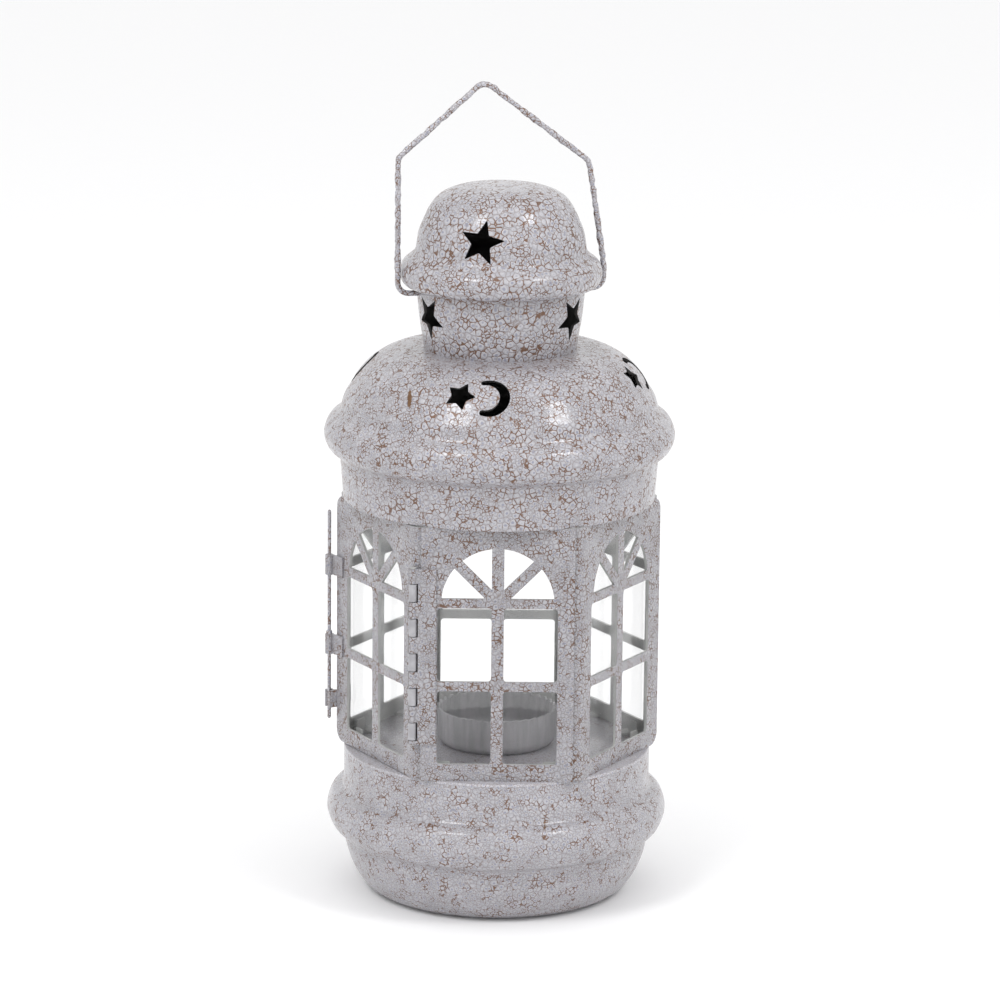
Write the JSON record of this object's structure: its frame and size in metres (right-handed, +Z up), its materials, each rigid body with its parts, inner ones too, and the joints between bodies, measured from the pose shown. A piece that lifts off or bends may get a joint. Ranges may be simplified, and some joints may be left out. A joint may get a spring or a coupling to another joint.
{
  "type": "tealight lantern",
  "caption": "Hexagonal metal tealight lantern with window panels, a hinged door, pierced caps and a wire bail.",
  "frame": {"origin": "centre of the flat underside of the base", "axes": "+Z up along the lantern's axis; the front panel faces -Y and the door is the panel on the left of it, towards -X"},
  "size_m": [0.1256, 0.1256, 0.2953],
  "materials": {
    "crackle_paint": "glossy crackle paint, pale blue-grey cells over brown",
    "inner_paint": "plain grey-green paint, satin",
    "cup_paint": "plain grey paint, satin",
    "clear_glass": "clear"
  },
  "bodies": {
    "lantern": {"base_bowl": "crackle_paint", "deck_plate": "inner_paint", "tealight_cup": "cup_paint", "cup_rivet": "cup_paint", "front_panel": "crackle_paint", "right_panel": "crackle_paint", "rear_right_panel": "crackle_paint", "rear_panel": "crackle_paint", "rear_left_panel": "crackle_paint", "front_glass": "clear_glass", "right_glass": "clear_glass", "rear_right_glass": "clear_glass", "rear_glass": "clear_glass", "rear_left_glass": "clear_glass", "glass_tongues": "inner_paint", "hinge_leaf": "crackle_paint", "hinge_pin": "inner_paint", "latch_keeper": "crackle_paint", "cap_plate": "inner_paint", "big_cap": "crackle_paint", "small_cap": "crackle_paint"},
    "door": {"door_panel": "crackle_paint", "door_glass": "clear_glass", "door_glass_tongues": "inner_paint", "door_hinge_leaf": "inner_paint", "latch_straps": "crackle_paint"},
    "latch": {"latch_rod": "crackle_paint"},
    "bail": {"bail_handle": "crackle_paint"}
  },
  "joints": [
    {"name": "door_swing", "type": "hinge", "parent": "lantern", "child": "door", "pos_m": [-0.02978, -0.05088, 0.1], "axis": [0, 0, 1], "range_deg": [0, 110]},
    {"name": "latch_lift", "type": "slide", "parent": "door", "child": "latch", "axis": [0, 0, 1], "range_m": [0, 0.0115]},
    {"name": "bail_swing", "type": "hinge", "parent": "lantern", "child": "bail", "pos_m": [0, 0, 0.2201], "axis": [0.9781, 0.2079, 0], "range_deg": [-118, 118]}
  ]
}
